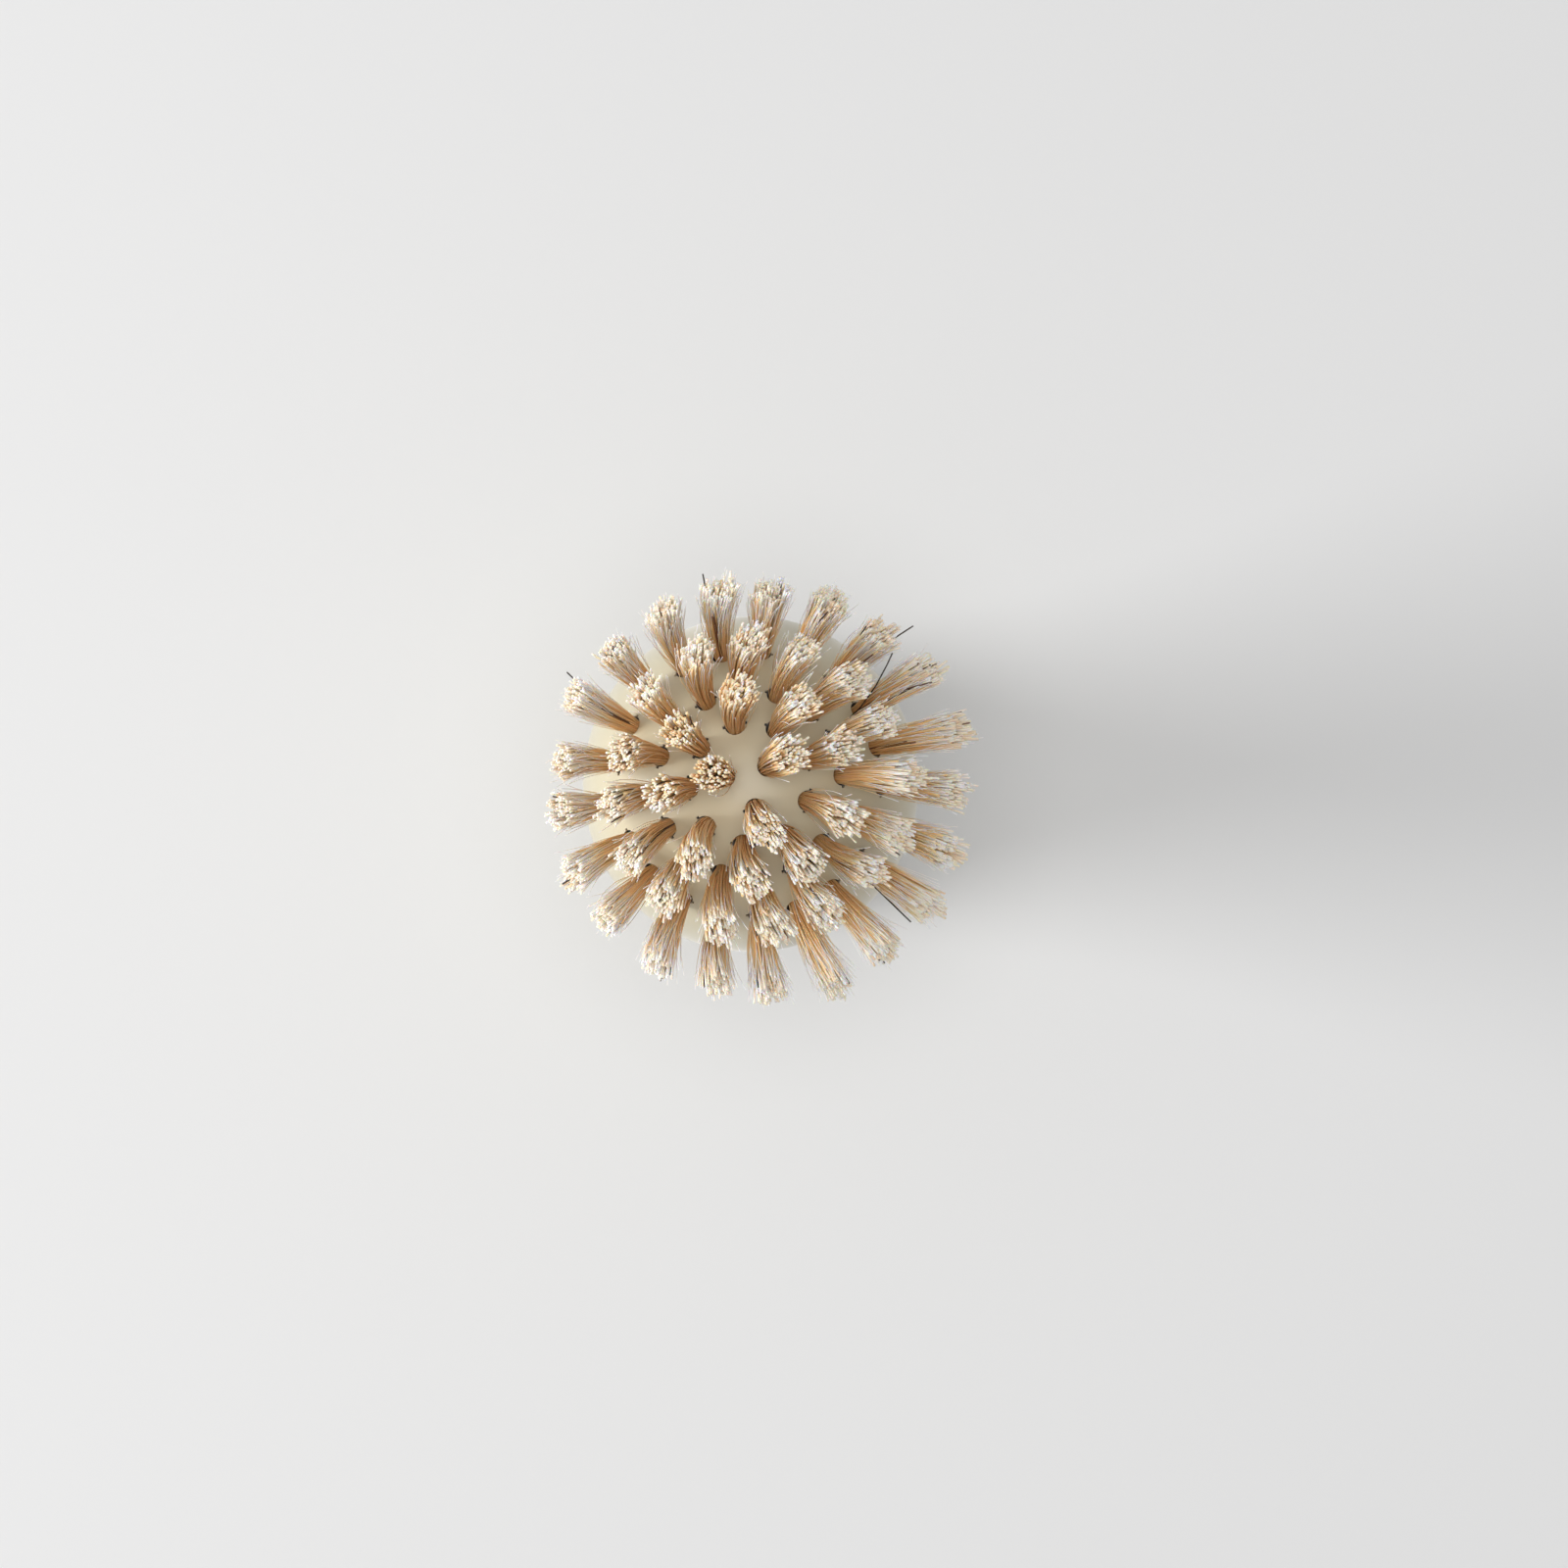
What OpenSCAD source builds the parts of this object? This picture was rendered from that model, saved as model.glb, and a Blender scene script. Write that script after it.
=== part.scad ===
// Upright kitchen brush: a smooth moulded body with a ball head, a waisted grip and a flat foot.
// Round tufts of natural bristle stand in four rings over the top of the ball. Each tuft is folded
// over a flat wire anchor that is driven into the bottom of its hole.
// Millimetres. The origin is the centre of the foot's underside, +Z points up.

/* [Body] */
// Diameter of the ball head
ball_d = 50; // [47:1:56]
// Height of the ball's centre above the table
ball_z = 65; // [60:1:80]
// Diameter of the grip at its waist
waist_d = 36; // [30:1:40]
// Diameter of the foot
foot_d = 45; // [42:1:48]
// Radius of the foot's rounded edge
foot_edge_r = 4; // [2:0.5:6]

/* [Rings of tufts] */
// Tufts in the crown, inner, middle and outer rings
ring_count = [3, 9, 16, 21]; // [1:1:22]
// Angle of each ring of holes from the top of the ball
ring_angle = [8.4, 20.4, 32.5, 49.7]; // [5:0.1:60]
// Direction of each ring's first tuft, anticlockwise from +X
ring_start = [43.8, 103.9, 95.3, 102.3]; // [0:0.1:360]
// How far the tips of each ring have splayed down the ball
ring_splay = [1.2, 0.3, 0, 0]; // [0:0.1:2]

/* [Tuft] */
// Length of bristle that stands out of the ball
bristle_l = 13.8; // [10:0.2:18]
// Diameter across the spread end of a tuft
tip_d = 5.0; // [3.8:0.1:5.4]
// Depth of the notches between the locks of a tuft at its end
notch_depth = 1.4; // [0.5:0.1:2.5]
// Greatest difference in length between the locks of a tuft
uneven_l = 1.0; // [0:0.1:1.5]
// Push of use on every tip, towards +X
sweep_x = 1.15; // [-2:0.05:2]
// Push of use on every tip, towards +Y
sweep_y = -0.4; // [-2:0.05:2]

/* [Hole and anchor] */
// Diameter of the hole that a tuft stands in
hole_d = 3.0; // [2.6:0.1:3.4]
// Depth of the hole
hole_depth = 6.0; // [5:0.1:7]
// Gap between a tuft and the wall of its hole
tuft_gap = 0.1; // [0.05:0.01:0.2]
// Thickness of the anchor wire
anchor_t = 0.35; // [0.25:0.05:0.5]
// Height of the anchor along the hole
anchor_h = 1.5; // [1:0.1:2]
// How far each end of the anchor bites into the wall of the hole
anchor_bite = 0.25; // [0.15:0.05:0.4]
// Thickness of the fold of bristle under the anchor
fold_t = 0.8; // [0.5:0.1:1.2]
// Gap between the anchor and what it is driven into
anchor_gap = 0.05; // [0.02:0.01:0.1]
// Direction of each anchor's long side, turned from straight down the ball
anchor_turn = 90; // [0:1:180]

/* [Hidden] */
RING_NAMES = ["crown", "inner", "middle", "outer"];
$fn = 96;
eps = 0.01;

// Degrees by which each tip stands off its even place, clockwise, as the bristles have set in use
SWAY = [
    [0, 1, 0],
    [4, 3, -1, 4, 1, -3, -7, -1, 0],
    [3, 1, 3, 0, 2, 2, -3, -1, -2, -3, 0, -2, -2, -4, 1, 4],
    [2, -1, 0, 0, -1, 1, 1, 1, 0, 0, -1, 0, -2, -1, 1, 0, 1, -2, 0, 0, 1]
];
// Millimetres by which each tip has set further down the ball than its ring
SETTLE = [
    [0, 0, 0],
    [0, 0, 0, 0, 0, 0, 0, 0, 0],
    [0, 0, 0, 0, 2, 1.5, 0, 0, 0, 0, 0, 0, 0, -2, 0, 0],
    [-1.4, -2.3, -0.9, -1.4, 1, 2.3, 0, 0.5, 2.3, 1.9, 3, 0.9, -0.5, 0, -1.2, -1, -2.6, -3.2, -1.6, -2.9, -2.4]
];

ball_r = ball_d / 2;
waist_r = waist_d / 2;
foot_r = foot_d / 2;
foot_edge_x = foot_r - foot_edge_r;

// The hollow of the grip is one arc that runs smoothly into the ball above and the foot's edge below.
// Its height solves the quadratic that both tangencies give, and its radius follows from the ball's.
foot_k = foot_r - waist_r;
ball_k = ball_r - waist_r;
quad_a = foot_k - ball_k;
quad_b = 2 * (ball_k * foot_edge_r - foot_k * ball_z);
quad_c = foot_k * (pow(waist_r, 2) - pow(ball_r, 2) + pow(ball_z, 2))
    - ball_k * pow(waist_r - foot_edge_x, 2);
waist_z = 2 * quad_c / (sqrt(pow(quad_b, 2) - 4 * quad_a * quad_c) - quad_b);
hollow_r = (pow(waist_r, 2) + pow(ball_z - waist_z, 2) - pow(ball_r, 2)) / (2 * ball_k);
hollow_x = waist_r + hollow_r;
ball_join_z = ball_z - ball_r * (ball_z - waist_z) / (ball_r + hollow_r);
foot_join_z = foot_edge_r + foot_edge_r * (waist_z - foot_edge_r) / (foot_edge_r + hollow_r);
// The hollow is cut a hair deeper, so that it crosses its two neighbours and leaves no sliver between.
hollow_bite = 0.003;

shank_r = hole_d / 2 - tuft_gap;
anchor_z = fold_t + tuft_gap - hole_depth;
tip_ball_r = ball_r + bristle_l;

// A tuft is drawn as LOCKS strands side by side, so its outline has a ridge and a valley for each.
LOCKS = 7;
SIDES = 2 * LOCKS;
VALLEY = 0.84;
FOLD_ROUND = 0.7;

function tuft_name(ring, place) = str("tuft_", RING_NAMES[ring], "_", place + 1);

function azimuth(ring, place) = ring_start[ring] - place * 360 / ring_count[ring];

// Where a tip has moved to in its hole's own frame: x runs down the ball, y runs round it.
function tip_bend(ring, place) =
    let (
        turn = azimuth(ring, place),
        lean = ring_angle[ring],
        away = sweep_x * cos(turn) + sweep_y * sin(turn),
        aside = sweep_y * cos(turn) - sweep_x * sin(turn),
        sway = SWAY[ring][place % len(SWAY[ring])],
        settle = SETTLE[ring][place % len(SETTLE[ring])]
    )
    [
        ring_splay[ring] + settle + away * cos(lean),
        aside - tip_ball_r * sin(lean) * sway * PI / 180
    ];

// One outline of the tuft: a ridge and a valley by turns, its centre carried along the bend.
function outline(z, ridge_r, valley_r, bend, turn) =
    let (reach = pow(max(z, 0) / bristle_l, 2))
    [for (i = [0 : SIDES - 1])
        let (a = turn + i * 360 / SIDES, r = (i % 2 == 0) ? ridge_r : valley_r)
        [bend.x * reach + r * cos(a), bend.y * reach + r * sin(a), z]];

// Raises the ridges and lowers the valleys of the outline at a tuft's end.
function rim(points, rise) =
    [for (i = [0 : SIDES - 1])
        let (p = points[i])
        [p.x, p.y, p.z + ((i % 2 == 0) ? rise[i / 2] : -notch_depth)]];

module at_hole(ring, place) {
    translate([0, 0, ball_z])
        rotate([0, ring_angle[ring], azimuth(ring, place)])
            translate([0, 0, ball_r])
                children();
}

module tuft_bundle(ring, place) {
    bend = tip_bend(ring, place);
    chance = rands(-0.5, 0.5, 2 * LOCKS + 2, 100 * ring + place);
    turn = chance[2 * LOCKS + 1] * 360 / LOCKS;
    tip_r = tip_d / 2;
    mid_r = (shank_r + tip_r) / 2;
    floor_z = tuft_gap - hole_depth;
    rise = [for (i = [0 : LOCKS - 1]) chance[i] * uneven_l];

    rows = [
        outline(floor_z, shank_r * FOLD_ROUND, shank_r * FOLD_ROUND, bend, turn),
        outline(floor_z + shank_r * (1 - FOLD_ROUND), shank_r, shank_r, bend, turn),
        outline(0, shank_r, shank_r * VALLEY, bend, turn),
        outline(bristle_l / 2, mid_r, mid_r * VALLEY, bend, turn),
        rim(outline(bristle_l, tip_r, tip_r * VALLEY, bend, turn), rise)
    ];
    heart = [for (i = [0 : LOCKS - 1])
        let (a = turn + (2 * i + 1) * 360 / SIDES)
        [bend.x + tip_r / 2 * cos(a), bend.y + tip_r / 2 * sin(a), bristle_l + chance[LOCKS + i] * uneven_l]];
    middle = [[bend.x, bend.y, bristle_l - notch_depth / 2]];

    last = len(rows) - 1;
    heart_at = len(rows) * SIDES;
    middle_at = heart_at + LOCKS;
    sides = [for (row = [0 : last - 1]) for (i = [0 : SIDES - 1])
        let (j = (i + 1) % SIDES, low = row * SIDES, high = low + SIDES)
        each [[low + i, high + i, high + j], [low + i, high + j, low + j]]];
    crown = [for (i = [0 : LOCKS - 1])
        let (
            rim_at = last * SIDES,
            ridge = rim_at + 2 * i,
            valley = ridge + 1,
            next_ridge = rim_at + (2 * i + 2) % SIDES,
            own = heart_at + i,
            next = heart_at + (i + 1) % LOCKS
        )
        each [[ridge, own, valley], [valley, own, next_ridge], [own, next, next_ridge], [own, middle_at, next]]];
    bottom = [for (i = [1 : SIDES - 2]) [0, i, i + 1]];

    polyhedron(
        points = concat([for (row = rows) each row], heart, middle),
        faces = concat(bottom, sides, crown),
        convexity = 6
    );
}

// Turns a hole's own frame until its x runs along the anchor.
module along_anchor() {
    rotate(anchor_turn)
        children();
}

// The anchor itself, the way through the fold of its tuft, or its slot in the ball.
module anchor_blank(long, thick, low, high) {
    translate([-long / 2, -thick / 2, low])
        cube([long, thick, high - low]);
}

// What is cut for one tuft. The drill's start line lies beside the slot and not in it.
module hole_blank() {
    rotate(90)
        translate([0, 0, -hole_depth])
            cylinder(d = hole_d, h = hole_depth + hole_d);
    anchor_blank(hole_d + 2 * (anchor_bite + anchor_gap), anchor_t + 2 * anchor_gap, anchor_z, hole_d);
}

module tuft(ring, place) {
    color("burlywood")
        at_hole(ring, place)
            difference() {
                tuft_bundle(ring, place);
                along_anchor()
                    anchor_blank(2 * hole_d, anchor_t + 2 * anchor_gap,
                                 anchor_z - anchor_gap, anchor_z + anchor_h + anchor_gap);
            }
}

module anchors() {
    color("silver")
        for (ring = [0 : len(RING_NAMES) - 1])
            for (place = [0 : ring_count[ring] - 1])
                at_hole(ring, place)
                    along_anchor()
                        anchor_blank(hole_d + 2 * anchor_bite, anchor_t, anchor_z, anchor_z + anchor_h);
}

module body_profile() {
    difference() {
        union() {
            square([foot_edge_x, foot_join_z]);
            intersection() {
                translate([foot_edge_x, foot_edge_r])
                    circle(r = foot_edge_r);
                translate([foot_edge_x, 0])
                    square([foot_edge_r + eps, foot_join_z]);
            }
            translate([0, foot_join_z])
                square([ball_r, ball_join_z - foot_join_z]);
            intersection() {
                translate([0, ball_z])
                    circle(r = ball_r);
                translate([0, ball_join_z])
                    square([ball_d, ball_d]);
            }
        }
        translate([hollow_x, waist_z])
            circle(r = hollow_r + hollow_bite);
    }
}

module body() {
    color("tan")
        difference() {
            rotate_extrude()
                body_profile();
            for (ring = [0 : len(RING_NAMES) - 1])
                for (place = [0 : ring_count[ring] - 1])
                    at_hole(ring, place)
                        along_anchor()
                            hole_blank();
        }
}

body();
anchors();
for (ring = [0 : len(RING_NAMES) - 1]) {
    for (place = [0 : ring_count[ring] - 1]) {
        tuft(ring, place);
    }
}
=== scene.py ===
"""Kitchen brush: tufts of loose bristle, a smooth khaki body, wire anchors, a floor and studio light."""

import math
import random
from collections import namedtuple

import bpy
from mathutils import Matrix, Vector


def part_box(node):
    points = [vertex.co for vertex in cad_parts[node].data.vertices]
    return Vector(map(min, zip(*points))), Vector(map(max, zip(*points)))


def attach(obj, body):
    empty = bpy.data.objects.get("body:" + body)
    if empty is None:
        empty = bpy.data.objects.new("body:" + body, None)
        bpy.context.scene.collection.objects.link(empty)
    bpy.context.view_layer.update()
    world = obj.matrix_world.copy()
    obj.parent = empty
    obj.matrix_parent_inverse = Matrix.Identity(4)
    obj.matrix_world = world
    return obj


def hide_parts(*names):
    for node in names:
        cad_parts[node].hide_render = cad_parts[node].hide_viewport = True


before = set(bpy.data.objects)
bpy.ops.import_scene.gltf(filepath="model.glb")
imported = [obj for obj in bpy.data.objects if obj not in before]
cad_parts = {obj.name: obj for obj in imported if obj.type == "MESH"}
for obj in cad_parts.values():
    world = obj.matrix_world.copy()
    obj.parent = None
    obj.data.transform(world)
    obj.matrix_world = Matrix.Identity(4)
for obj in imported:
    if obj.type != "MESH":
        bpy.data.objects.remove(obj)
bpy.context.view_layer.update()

# Lengths are in metres where no other unit is named.

# The body, read from the frame
BODY_LOW, BODY_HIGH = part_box("body")
BALL_R = (BODY_HIGH.x - BODY_LOW.x) / 2
BALL_CENTRE = Vector((0, 0, BODY_HIGH.z - BALL_R))

# The rings of tufts, as the CAD source has them: how many tufts, degrees from the top, degrees of the first
# tuft's direction, and how far the tips splay
Ring = namedtuple("Ring", "name tufts angle start splay")
RINGS = (
    Ring("crown", 3, 8.4, 43.8, 0.0012),
    Ring("inner", 9, 20.4, 103.9, 0.0003),
    Ring("middle", 16, 32.5, 95.3, 0.0),
    Ring("outer", 21, 49.7, 102.3, 0.0),
)
# Degrees by which each tip stands off its even place, clockwise
SWAY = {
    "crown": (0, 1, 0),
    "inner": (4, 3, -1, 4, 1, -3, -7, -1, 0),
    "middle": (3, 1, 3, 0, 2, 2, -3, -1, -2, -3, 0, -2, -2, -4, 1, 4),
    "outer": (2, -1, 0, 0, -1, 1, 1, 1, 0, 0, -1, 0, -2, -1, 1, 0, 1, -2, 0, 0, 1),
}
# Millimetres by which each tip has set further down the ball than its ring
SETTLE = {
    "crown": (0, 0, 0),
    "inner": (0, 0, 0, 0, 0, 0, 0, 0, 0),
    "middle": (0, 0, 0, 0, 2, 1.5, 0, 0, 0, 0, 0, 0, 0, -2, 0, 0),
    "outer": (-1.4, -2.3, -0.9, -1.4, 1, 2.3, 0, 0.5, 2.3, 1.9, 3, 0.9, -0.5, 0,
              -1.2, -1, -2.6, -3.2, -1.6, -2.9, -2.4),
}
MM_PER_METRE = 1000
# How far all tips are swept to one side
SWEEP = Vector((0.00115, -0.0004))
BRISTLE_L = 0.0138
HOLE_R = 0.0015
TIP_R = 0.0025

# The hole that a tuft is folded into, and the wire that it is folded over. At the wire's ends the tuft has a
# notch. Where it starts and how wide it opens are shares of the hole's radius.
FOLD_DEPTH = 0.0056
WIRE_LOW = 0.0050
WIRE_HIGH = 0.0034
WIRE_CLEAR = 0.00034
FOLD_SHARE = 0.6
NOTCH_START = 0.34
NOTCH_SLOPE = 1.9
# Every tuft is pressed this far to the right at its hole's mouth
LEAN_IN_HOLE = 0.00012

# A bristle's mesh: sides, rows of points in the hole, and shares of its free length at the rows above it
SIDES = 5
ROWS_IN_HOLE = 3
OUT_ROWS = (0.0, 0.25, 0.5, 0.75, 0.92, 1.0)

# How wide a tuft fans out, how much its bristles differ in it, and the most for any, all against TIP_R
FAN = (0.92, 1.12)
FAN_SPREAD = 0.13
WIDEST_FAN = 1.25

# The locks that a tuft's bristles draw to
CLUMPS = 13
CLUMP_PULL = 0.4
CLUMP_UNEVEN = 0.0005
CLUMP_TONE = (0.18, 0.98)
CLUMP_BLEACH = (0.9, 1.08)

# Stout bristles with split ends. Their lengths differ more downwards than upwards.
STOUT = 112
STOUT_R = 0.00012
STOUT_WIDTH = (0.8, 1.15)
SPLIT_END = 0.45
UNEVEN = 0.0006
UNEVEN_UP = 0.6
TIP_SCATTER = 0.00018
STOUT_CURL = 0.00014
TONE_SPREAD = 0.13
DARKEST_LIGHT_TONE = 0.14
BLEACH_SPREAD = (0.93, 1.05)

# Shorter ones between them
SHORT = 40
SHORT_SHARE = (0.8, 0.95)
SHORT_TONE = (0.2, 0.9)
SHORT_BLEACH = 0.78

# Fine white ones that stray. Their fan is its least, its most and its likeliest.
FINE = {"crown": 26, "inner": 28, "middle": 38, "outer": 70}
FINE_R = 0.00005
FINE_FAN = (0.6, 1.7, 1.1)
FINE_CURL = 0.0003
FINE_SHARE = (0.84, 1.03)
FINE_TONE = (0.88, 1.0)
FINE_BLEACH = (1.0, 1.6)

# Tufts that hold more dark bristles than the others, and the shares in both
DARK_TUFTS = {("outer", 5), ("outer", 6), ("inner", 6), ("inner", 8), ("middle", 12), ("middle", 13)}
DARK_SHARE = 0.007
DARKER_SHARE = 0.03
DARK_TONE = (0.0, 0.11)

# Single dark bristles: the tuft that each leaves, its root and tip in the hole's own frame, how late it
# curves, its length and its tone
Stray = namedtuple("Stray", "ring place root tip late length tone")
STRAYS = (
    Stray("middle", 4, (0.0009, 0.0012), (0.0057, 0.0069), 0.85, 0.0155, 0.0),
    Stray("outer", 9, (0.0002, -0.0012), (0.0014, -0.0030), 0.0, 0.0135, 0.0),
    Stray("outer", 19, (0.0012, -0.0002), (0.0006, -0.0028), 0.2, 0.0144, 0.0),
    Stray("outer", 19, (-0.0012, -0.0002), (-0.0041, -0.0004), 0.0, 0.0122, 0.06),
    Stray("outer", 19, (-0.0012, -0.0001), (-0.0026, -0.0002), 0.0, 0.0060, 0.09),
    Stray("outer", 4, (0.0012, 0.0003), (0.0022, -0.0039), 0.0, 0.0155, 0.03),
    Stray("outer", 4, (-0.0012, -0.0004), (-0.0030, -0.0020), 0.0, 0.0110, 0.09),
    Stray("outer", 5, (-0.0009, 0.0005), (-0.0006, -0.0024), 0.3, 0.0145, 0.09),
    Stray("outer", 5, (-0.0012, 0.0002), (-0.0011, -0.0006), 0.0, 0.0120, 0.09),
    Stray("outer", 6, (-0.0011, -0.0004), (-0.0015, -0.0011), 0.0, 0.0085, 0.1),
    Stray("outer", 6, (-0.0012, -0.0001), (-0.0015, -0.0006), 0.0, 0.0070, 0.1),
    Stray("outer", 6, (0.0006, 0.0006), (0.0029, -0.0006), 0.0, 0.0155, 0.1),
    Stray("outer", 1, (-0.0012, 0.0), (-0.0036, -0.0002), 0.0, 0.0112, 0.09),
    Stray("outer", 1, (-0.0012, 0.0002), (-0.0034, 0.0001), 0.0, 0.0100, 0.1),
    Stray("outer", 1, (0.0004, 0.0005), (0.0008, 0.0001), 0.0, 0.0146, 0.0),
    Stray("outer", 16, (0.0008, 0.0001), (0.0003, 0.0016), 0.0, 0.0144, 0.0),
    Stray("outer", 15, (0.0001, 0.0005), (-0.0018, 0.0024), 0.0, 0.0120, 0.09),
)

# How far down from its end each ring's bristle is bleached. On top of that, painted light and shade: each
# ring's tips are painted paler towards one side of the ball and browner towards the other
RING_BLEACH = {"crown": 0.97, "inner": 1.01, "middle": 1.05, "outer": 1.28}
PAINTED_LIGHT_SIDE = math.radians(130)
SIDE_PAINTED_LIGHT = {"crown": -0.06, "inner": -0.09, "middle": -0.03, "outer": 0.18}

# A bristle's colours by its bleaching, with the painted side light and shade in it, from the root to the
# bleached end
LENGTH_TINTS = (
    (0.0, (0.62, 0.38, 0.18)),
    (0.2, (0.82, 0.53, 0.27)),
    (0.5, (0.92, 0.65, 0.36)),
    (0.74, (0.97, 0.75, 0.47)),
    (0.86, (0.98, 0.86, 0.69)),
    (0.94, (0.99, 0.96, 0.93)),
)
# What each bristle's own tone multiplies them by, from the near black ones to the white ones
OWN_TINTS = (
    (0.0, (0.035, 0.03, 0.028)),
    (0.08, (0.10, 0.06, 0.04)),
    (0.11, (0.30, 0.17, 0.09)),
    (0.13, (0.86, 0.70, 0.52)),
    (0.3, (1.0, 0.87, 0.72)),
    (0.5, (1.0, 0.95, 0.89)),
    (0.68, (1.0, 0.89, 0.68)),
    (0.82, (1.0, 0.89, 0.83)),
    (0.9, (1.0, 1.0, 1.0)),
)
PLASTIC_TINTS = ((0.35, (0.615, 0.56, 0.39)), (0.65, (0.645, 0.585, 0.41)))
STEEL_TINTS = ((0.3, (0.36, 0.35, 0.33)), (0.7, (0.52, 0.51, 0.48)))

# Painted shade lies on the holes' walls from just below their edges, and is full at the greater depth
PAINTED_SHADE_EDGE = 0.00012
PAINTED_SHADE_FROM = 0.0005
PAINTED_SHADE_COLOUR = (0.03, 0.02, 0.012, 1)

FLOOR_SIZE = 6
FLOOR_COLOUR = (0.80, 0.80, 0.80, 1)

# The camera looks straight down from this height over the ball's centre
CAMERA_RISE = 0.600
PIXELS_PER_METRE = 6840
IMAGE_PIXELS = 1600
BALL_PIXEL = (766, 800)
SENSOR_MM = 36

# Soft round lamps: name, distance, rise above the table, turn from the left, width and watts
LAMPS = (
    ("side_softbox", 1.6, math.radians(23), math.radians(2), 0.75, 20.0),
    ("top_softbox", 1.5, math.radians(90), 0.0, 0.7, 6.7),
)
# The room gives the rest of the light, more from above than from the sides. The camera and reflections see
# it white.
ROOM_LIGHT_LEVEL = 0.12
ROOM_LIGHT_UP = 0.50
ROOM_WHITE = 0.9


# --- Materials ---

def set_input(node, **values):
    """Set a node's inputs by name, with _ for each space."""
    for name, value in values.items():
        node.inputs[name.replace("_", " ")].default_value = value


def new_material(name):
    """A material with its nodes, its links and its shader."""
    material = bpy.data.materials.new(name)
    material.use_nodes = True
    nodes = material.node_tree.nodes
    return material, nodes, material.node_tree.links, nodes["Principled BSDF"]


def colour_ramp(nodes, stops):
    """A ramp through the colours given with their places."""
    ramp = nodes.new("ShaderNodeValToRGB")
    elements = ramp.color_ramp.elements
    while len(elements) < len(stops):
        elements.new(0.5)
    for element, (place, colour) in zip(elements, stops):
        element.position = place
        element.color = (*colour, 1)
    return ramp


def noise(nodes, links, place, scale, detail):
    """Noise in the part's own frame."""
    texture = nodes.new("ShaderNodeTexNoise")
    set_input(texture, Scale=scale, Detail=detail)
    links.new(place.outputs["Object"], texture.inputs["Vector"])
    return texture.outputs["Fac"]


def tinted_by(nodes, links, value, stops):
    """The colour that a ramp gives for a value."""
    ramp = colour_ramp(nodes, stops)
    links.new(value, ramp.inputs["Fac"])
    return ramp.outputs["Color"]


def attribute(nodes, name):
    """A number that the mesh holds for each of its points."""
    node = nodes.new("ShaderNodeAttribute")
    node.attribute_name = name
    return node.outputs["Fac"]


def body_plastic():
    """Smooth khaki moulded plastic with a soft gloss, and painted shade on the holes' walls."""
    material, nodes, links, shader = new_material("khaki_plastic")
    place = nodes.new("ShaderNodeTexCoord")
    tint = tinted_by(nodes, links, noise(nodes, links, place, 45.0, 3.0), PLASTIC_TINTS)

    # Painted shade: the holes' walls darken with depth below the ball's surface
    from_centre = nodes.new("ShaderNodeVectorMath")
    from_centre.operation = "DISTANCE"
    links.new(place.outputs["Object"], from_centre.inputs[0])
    from_centre.inputs[1].default_value = BALL_CENTRE
    unshaded = nodes.new("ShaderNodeMapRange")
    set_input(unshaded, From_Min=BALL_R - PAINTED_SHADE_FROM, From_Max=BALL_R - PAINTED_SHADE_EDGE)
    links.new(from_centre.outputs["Value"], unshaded.inputs["Value"])
    hole_shade = nodes.new("ShaderNodeMix")
    hole_shade.data_type = "RGBA"
    hole_shade.inputs["A"].default_value = PAINTED_SHADE_COLOUR
    links.new(unshaded.outputs["Result"], hole_shade.inputs["Factor"])
    links.new(tint, hole_shade.inputs["B"])
    links.new(hole_shade.outputs["Result"], shader.inputs["Base Color"])

    bump = nodes.new("ShaderNodeBump")
    set_input(bump, Strength=0.04, Distance=0.0002)
    links.new(noise(nodes, links, place, 900.0, 4.0), bump.inputs["Height"])
    links.new(bump.outputs["Normal"], shader.inputs["Normal"])
    set_input(shader, Roughness=0.45, IOR=1.5)
    set_input(shader, Sheen_Weight=0.5, Sheen_Roughness=0.4, Coat_Weight=0.3, Coat_Roughness=0.3)
    return material


def anchor_wire():
    """Dull cut steel wire."""
    material, nodes, links, shader = new_material("anchor_steel")
    place = nodes.new("ShaderNodeTexCoord")
    tone = tinted_by(nodes, links, noise(nodes, links, place, 4000.0, 2.0), STEEL_TINTS)
    links.new(tone, shader.inputs["Base Color"])
    set_input(shader, Metallic=1.0, Roughness=0.45)
    return material


def bristle_fibre():
    """Natural bristle: brown at the root, tan along its length and pale at its cut end, no two alike."""
    material, nodes, links, shader = new_material("natural_bristle")
    blend = nodes.new("ShaderNodeMix")
    blend.data_type = "RGBA"
    blend.blend_type = "MULTIPLY"
    blend.inputs["Factor"].default_value = 1.0
    links.new(tinted_by(nodes, links, attribute(nodes, "along"), LENGTH_TINTS), blend.inputs["A"])
    links.new(tinted_by(nodes, links, attribute(nodes, "tone"), OWN_TINTS), blend.inputs["B"])
    links.new(blend.outputs["Result"], shader.inputs["Base Color"])
    set_input(shader, Roughness=0.5, IOR=1.45)
    set_input(shader, Subsurface_Weight=0.6, Subsurface_Radius=(1.0, 0.7, 0.4), Subsurface_Scale=0.00012)
    return material


# --- Tufts ---

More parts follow.
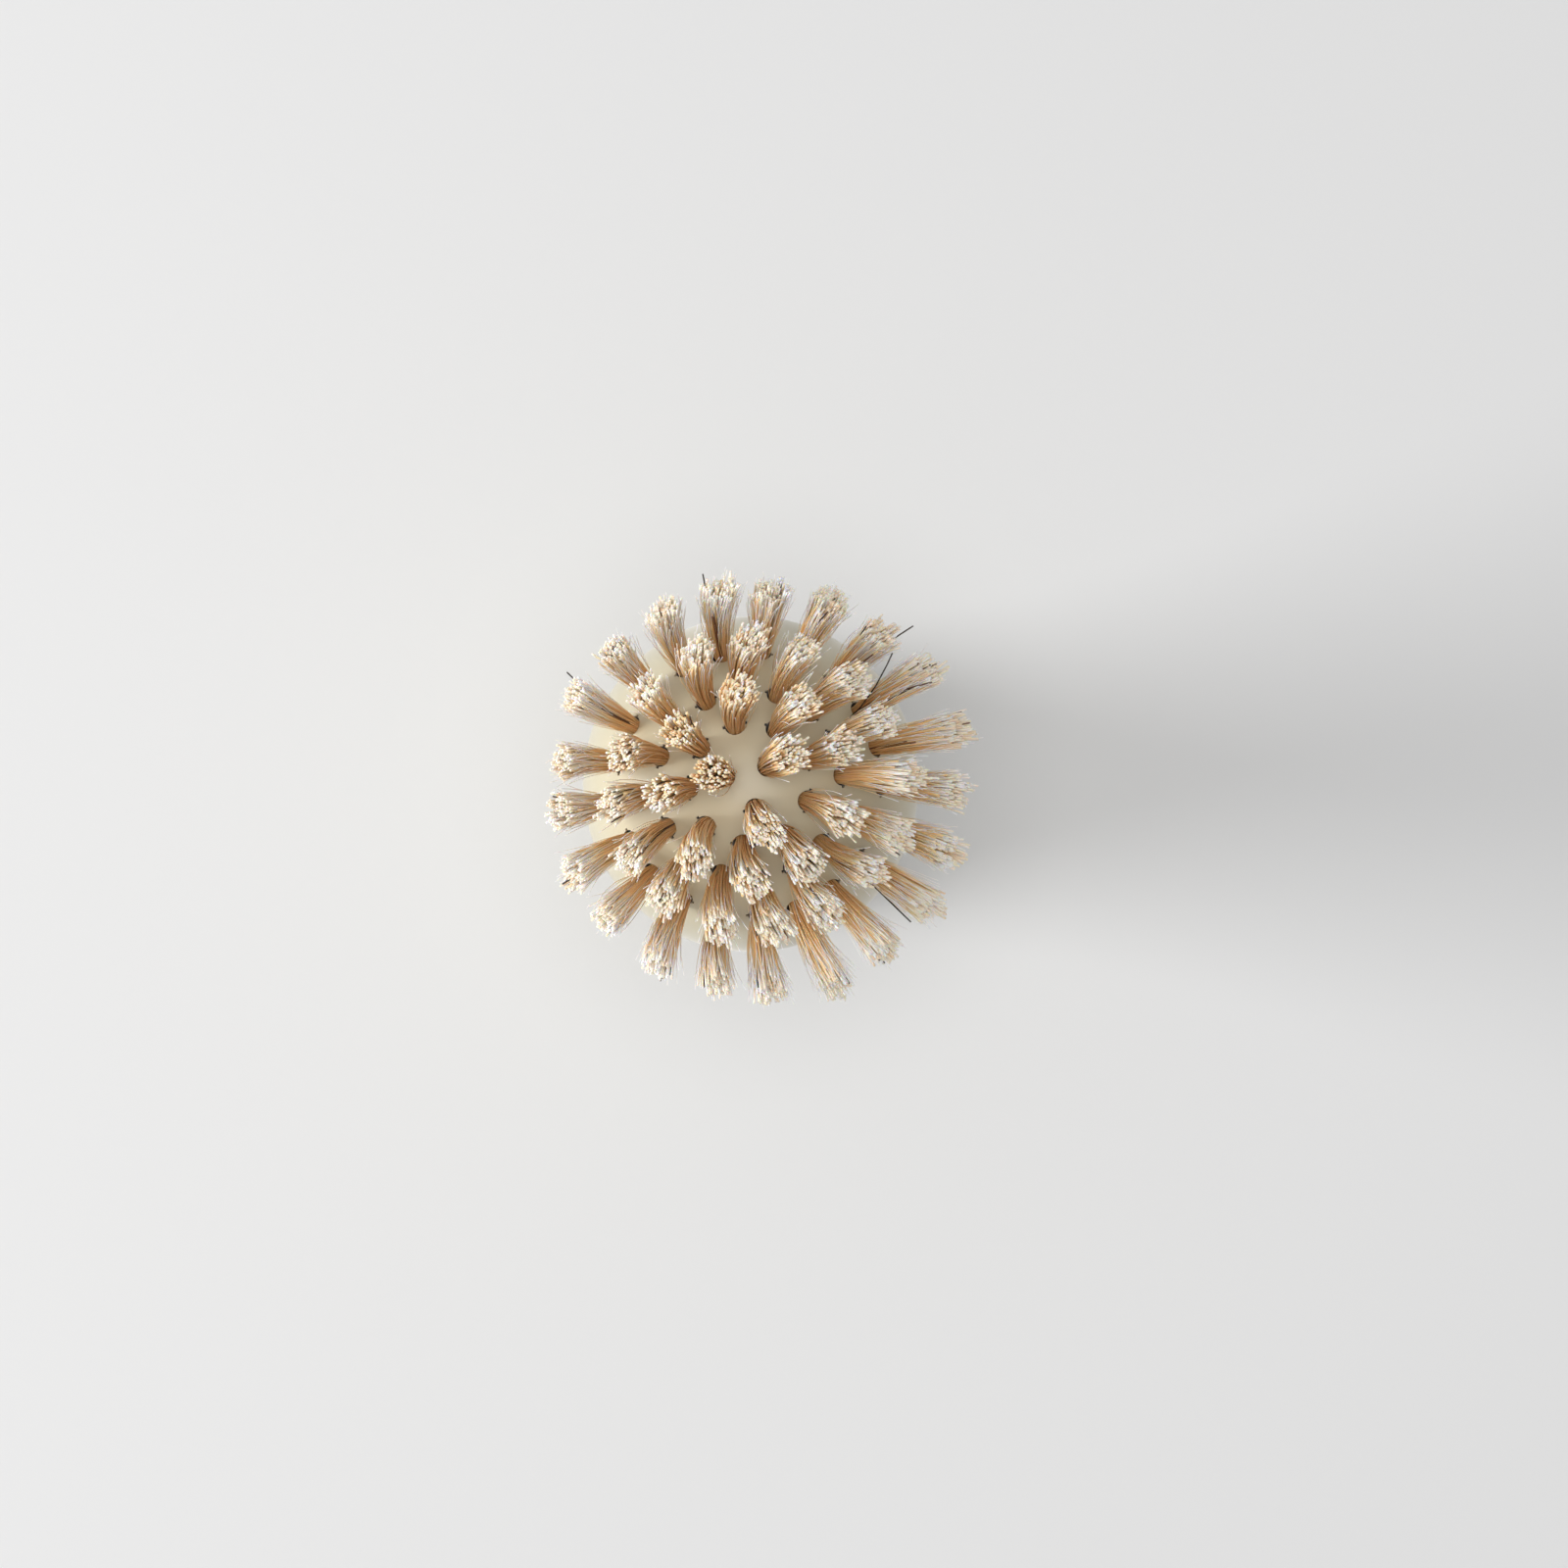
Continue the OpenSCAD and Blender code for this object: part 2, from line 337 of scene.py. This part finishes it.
def bristle_template():
    """One straight bristle of unit radius with its rows one unit apart, from which every other is copied."""
    rows = ROWS_IN_HOLE + len(OUT_ROWS)
    bpy.ops.object.select_all(action="DESELECT")
    bpy.ops.mesh.primitive_cylinder_add(
        vertices=SIDES, radius=1, depth=rows - 1, end_fill_type="NGON", location=(0, 0, (rows - 1) / 2))
    bristle = bpy.context.object
    bpy.ops.object.transform_apply(location=True, rotation=True, scale=True)
    bpy.ops.object.mode_set(mode="EDIT")
    for row in range(1, rows - 1):
        bpy.ops.mesh.select_all(action="SELECT")
        bpy.ops.mesh.bisect(plane_co=(0, 0, row), plane_no=(0, 0, 1))
    bpy.ops.object.mode_set(mode="OBJECT")
    mesh = bristle.data
    points = [(v.co.x, v.co.y, round(v.co.z)) for v in mesh.vertices]
    faces = [tuple(p.vertices) for p in mesh.polygons]
    bpy.data.objects.remove(bristle)
    bpy.data.meshes.remove(mesh)
    return points, faces


def tuft_frame(angle, turn):
    """A hole's own frame: z out of the ball, x down it and y round it, at the hole's mouth."""
    spin = Matrix.Rotation(math.radians(turn), 4, "Z") @ Matrix.Rotation(math.radians(angle), 4, "Y")
    return Matrix.Translation(BALL_CENTRE) @ spin @ Matrix.Translation((0, 0, BALL_R))


def in_hole_frame(direction, lean, turn):
    """A level direction as x and y of a hole's own frame."""
    away = direction.x * math.cos(turn) + direction.y * math.sin(turn)
    aside = direction.y * math.cos(turn) - direction.x * math.sin(turn)
    return Vector((away * math.cos(lean), aside))


def packed_places(chance, count):
    """Even places over a disc of radius 1, as bristles pack a hole."""
    golden = math.pi * (3 - math.sqrt(5))
    turn = chance.uniform(0, 2 * math.pi)
    return [
        Vector((math.cos(turn + i * golden), math.sin(turn + i * golden))) * math.sqrt((i + 0.5) / count)
        for i in range(count)
    ]


def notched(spot):
    """A place on the disc, moved out of the notch that each end of the wire leaves in the tuft."""
    opening = NOTCH_SLOPE * max(0, abs(spot.y) - NOTCH_START)
    moved = Vector((math.copysign(max(abs(spot.x), opening), spot.x), spot.y))
    return moved / max(1, moved.length)


def parted(spot):
    """Where a bristle passes the wire that the tuft is folded over, which runs round the ball."""
    clear = WIRE_CLEAR + abs(spot.x) * (1 - WIRE_CLEAR / HOLE_R)
    return Vector((math.copysign(clear, spot.x), spot.y))


def own_way(root, tip, late, length):
    """The course of a single bristle that leaves its tuft. One that curves late turns aside near its tip."""
    for share in OUT_ROWS:
        yield root.lerp(tip, share * (1 - late) + share ** 3 * late), share * length


class Tuft:
    """The loose bristles of one hole, laid one by one in the hole's own frame."""

    def __init__(self, ring, place):
        self.name = ring.name
        self.number = place + 1
        self.angle = ring.angle
        self.turn = ring.start - place * 360 / ring.tufts
        chance = self.chance = random.Random(100 * self.angle + place)
        lean, turn = math.radians(self.angle), math.radians(self.turn)
        sway = math.radians(SWAY[self.name][place]) * (BALL_R + BRISTLE_L) * math.sin(lean)
        settle = SETTLE[self.name][place] / MM_PER_METRE
        self.bend = in_hole_frame(SWEEP, lean, turn) + Vector((ring.splay + settle, -sway))
        self.lean_in_hole = in_hole_frame(Vector((LEAN_IN_HOLE, 0)), lean, turn)
        # Painted light and shade: how much paler this tuft's tips are painted for its side of the ball
        painted_side_light = SIDE_PAINTED_LIGHT[self.name] * math.cos(turn - PAINTED_LIGHT_SIDE)
        self.whiter = RING_BLEACH[self.name] * (1 + painted_side_light)
        self.clumps = [
            (middle, chance.gauss(0, CLUMP_UNEVEN), chance.uniform(*CLUMP_TONE),
             chance.uniform(*CLUMP_BLEACH))
            for middle in packed_places(chance, CLUMPS)
        ]
        self.points, self.faces, self.along, self.tones = [], [], [], []

    def clump_at(self, spot):
        """The lock that a bristle has drawn to: its middle, and how much longer, paler and whiter it is."""
        return min(self.clumps, key=lambda clump: (clump[0] - spot).length)

    def scatter(self, spread):
        """A small chance shift to any side."""
        return Vector((self.chance.gauss(0, spread), self.chance.gauss(0, spread)))

    def out_of_hole(self, root, tip, curl, length):
        """A bristle's course above the ball: it leans with its tuft and curls a little of its own."""
        for share in OUT_ROWS:
            reach = share * length / BRISTLE_L
            centre = root + self.lean_in_hole + (tip - self.bend - root) * reach
            centre += self.bend * reach ** 2 + curl * math.sin(math.pi * share) - curl * share ** 3
            yield centre, share * length

    def lay(self, root, above, length, radius, end_growth, tone, bleach):
        """One bristle, from its fold under the wire to its tip."""
        past_wire = parted(root)
        course = [(root * FOLD_SHARE, -FOLD_DEPTH), (past_wire, -WIRE_LOW), (past_wire, -WIRE_HIGH), *above]
        spin = self.chance.uniform(0, 2 * math.pi)
        first = len(self.points)
        for x, y, row in TEMPLATE_POINTS:
            centre, height = course[row]
            share = max(height, 0) / length
            wide = radius * (1 + end_growth * share ** 4)
            self.points.append((centre.x + wide * (x * math.cos(spin) - y * math.sin(spin)),
                                centre.y + wide * (x * math.sin(spin) + y * math.cos(spin)),
                                height))
            # The along value is the bleaching, and for stout and fine bristles also the painted side light
            # and shade
            self.along.append(min(1.0, share * bleach))
            self.tones.append(tone)
        self.faces.extend(tuple(first + i for i in face) for face in TEMPLATE_FACES)

    def fill(self):
        """All the bristles of the tuft, one kind after the other."""
        fan = self.chance.uniform(*FAN)
        self.stout_bristles(fan)
        self.short_bristles(fan)
        self.fine_bristles()
        self.stray_bristles()

    def stout_bristles(self, fan):
        """Most of the tuft. A few of them are dark and whole to the end."""
        chance = self.chance
        dark = DARKER_SHARE if (self.name, self.number) in DARK_TUFTS else DARK_SHARE
        for spot in packed_places(chance, STOUT):
            middle, longer, tone, bleach = self.clump_at(spot)
            clumped = spot.lerp(middle, CLUMP_PULL)
            spread = TIP_R * min(WIDEST_FAN, fan + chance.gauss(0, FAN_SPREAD))
            tip = self.bend + clumped * spread + self.scatter(TIP_SCATTER)
            curl = self.scatter(STOUT_CURL)
            length = BRISTLE_L + longer + chance.triangular(-UNEVEN, UNEVEN * UNEVEN_UP, 0)
            root = notched(spot) * (HOLE_R - STOUT_R)
            width, growth = STOUT_R * chance.uniform(*STOUT_WIDTH), SPLIT_END
            tone = min(1.0, max(DARKEST_LIGHT_TONE, tone + chance.gauss(0, TONE_SPREAD)))
            if chance.random() < dark:
                tone, growth = chance.uniform(*DARK_TONE), 0.0
            self.lay(root, self.out_of_hole(root, tip, curl, length), length, width, growth, tone,
                     self.whiter * bleach * chance.uniform(*BLEACH_SPREAD))

    def short_bristles(self, fan):
        """Browner ones that fill the tuft below its end."""
        chance = self.chance
        for spot in packed_places(chance, SHORT):
            tip = self.bend + spot * TIP_R * fan
            length = BRISTLE_L * chance.uniform(*SHORT_SHARE)
            root = notched(spot) * (HOLE_R - STOUT_R)
            self.lay(root, self.out_of_hole(root, tip, Vector((0, 0)), length), length, STOUT_R, SPLIT_END,
                     chance.uniform(*SHORT_TONE), SHORT_BLEACH)

    def fine_bristles(self):
        """White hairs round the tuft."""
        chance = self.chance
        for spot in packed_places(chance, FINE[self.name]):
            tip = self.bend + spot.normalized() * TIP_R * chance.triangular(*FINE_FAN)
            curl = self.scatter(FINE_CURL)
            length = BRISTLE_L * chance.uniform(*FINE_SHARE)
            root = notched(spot) * (HOLE_R - FINE_R)
            self.lay(root, self.out_of_hole(root, tip, curl, length), length, FINE_R, 0.0,
                     chance.uniform(*FINE_TONE), self.whiter * chance.uniform(*FINE_BLEACH))

    def stray_bristles(self):
        """The tuft's single dark bristles."""
        for stray in STRAYS:
            if (stray.ring, stray.place) == (self.name, self.number):
                root = Vector(stray.root)
                above = own_way(root, Vector(stray.tip), stray.late, stray.length)
                self.lay(root, above, stray.length, STOUT_R, 0.0, stray.tone, 1.0)

    def make_piece(self, fibre):
        """The tuft's one mesh, set into its hole."""
        mesh = bpy.data.meshes.new(f"bristles_{self.name}_{self.number}")
        mesh.from_pydata(self.points, [], self.faces)
        for title, values in (("along", self.along), ("tone", self.tones)):
            mesh.attributes.new(title, "FLOAT", "POINT").data.foreach_set("value", values)
        # The cut ends stay flat
        mesh.polygons.foreach_set("use_smooth", [len(face) == 4 for face in self.faces])
        mesh.transform(tuft_frame(self.angle, self.turn))
        mesh.update()
        mesh.materials.append(fibre)
        piece = bpy.data.objects.new(mesh.name, mesh)
        bpy.context.scene.collection.objects.link(piece)
        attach(piece, "root")
        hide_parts(f"tuft_{self.name}_{self.number}")


# --- Stage ---

def floor_surface():
    """The pale table that the brush stands on."""
    material, _, _, shader = new_material("pale_table")
    set_input(shader, Base_Color=FLOOR_COLOUR, Roughness=0.7)
    bpy.ops.object.select_all(action="DESELECT")
    bpy.ops.mesh.primitive_plane_add(size=FLOOR_SIZE, location=(0, 0, 0))
    floor = bpy.context.object
    floor.name = "floor"
    floor.data.materials.append(material)


def softboxes():
    """The lamps, each turned to the table's middle."""
    for name, distance, rise, turn, width, watts in LAMPS:
        level = math.cos(rise)
        direction = Vector((-level * math.cos(turn), -level * math.sin(turn), math.sin(rise)))
        lamp = bpy.data.lights.new(name, "AREA")
        lamp.shape = "DISK"
        lamp.size = width
        lamp.energy = watts
        softbox = bpy.data.objects.new(name, lamp)
        softbox.location = direction * distance
        softbox.rotation_euler = direction.to_track_quat("Z", "Y").to_euler()
        bpy.context.scene.collection.objects.link(softbox)


def white_room():
    """Light from all round, stronger from above."""
    world = bpy.data.worlds.new("room")
    world.use_nodes = True
    nodes, links = world.node_tree.nodes, world.node_tree.links
    place = nodes.new("ShaderNodeTexCoord")
    height = nodes.new("ShaderNodeSeparateXYZ")
    links.new(place.outputs["Generated"], height.inputs["Vector"])
    room = nodes.new("ShaderNodeMapRange")
    set_input(room, To_Min=ROOM_LIGHT_LEVEL, To_Max=ROOM_LIGHT_UP)
    links.new(height.outputs["Z"], room.inputs["Value"])
    path = nodes.new("ShaderNodeLightPath")
    seen = nodes.new("ShaderNodeMath")
    seen.operation = "MAXIMUM"
    links.new(path.outputs["Is Camera Ray"], seen.inputs[0])
    links.new(path.outputs["Is Glossy Ray"], seen.inputs[1])
    strength = nodes.new("ShaderNodeMapRange")
    set_input(strength, To_Max=ROOM_WHITE)
    links.new(seen.outputs["Value"], strength.inputs["Value"])
    links.new(room.outputs["Result"], strength.inputs["To Min"])
    links.new(strength.outputs["Result"], nodes["Background"].inputs["Strength"])
    set_input(nodes["Background"], Color=(1, 1, 1, 1))
    bpy.context.scene.world = world


def overhead_camera():
    """Places the ball's centre on its pixel of the photo."""
    camera = bpy.data.cameras.new("camera")
    camera.sensor_width = SENSOR_MM
    camera.lens = SENSOR_MM * PIXELS_PER_METRE * CAMERA_RISE / IMAGE_PIXELS
    eye = bpy.data.objects.new("camera", camera)
    off_x = (IMAGE_PIXELS / 2 - BALL_PIXEL[0]) / PIXELS_PER_METRE
    off_y = (BALL_PIXEL[1] - IMAGE_PIXELS / 2) / PIXELS_PER_METRE
    eye.location = BALL_CENTRE + Vector((off_x, off_y, CAMERA_RISE))
    bpy.context.scene.collection.objects.link(eye)
    bpy.context.scene.camera = eye


# --- The whole scene ---

overhead_camera()
floor_surface()
softboxes()
white_room()

for node, make in (("body", body_plastic), ("anchors", anchor_wire)):
    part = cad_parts[node]
    part.data.materials.clear()
    part.data.materials.append(make())

TEMPLATE_POINTS, TEMPLATE_FACES = bristle_template()
bristle = bristle_fibre()
for ring in RINGS:
    for place in range(ring.tufts):
        tuft = Tuft(ring, place)
        tuft.fill()
        tuft.make_piece(bristle)

bpy.context.scene.view_settings.view_transform = "Standard"
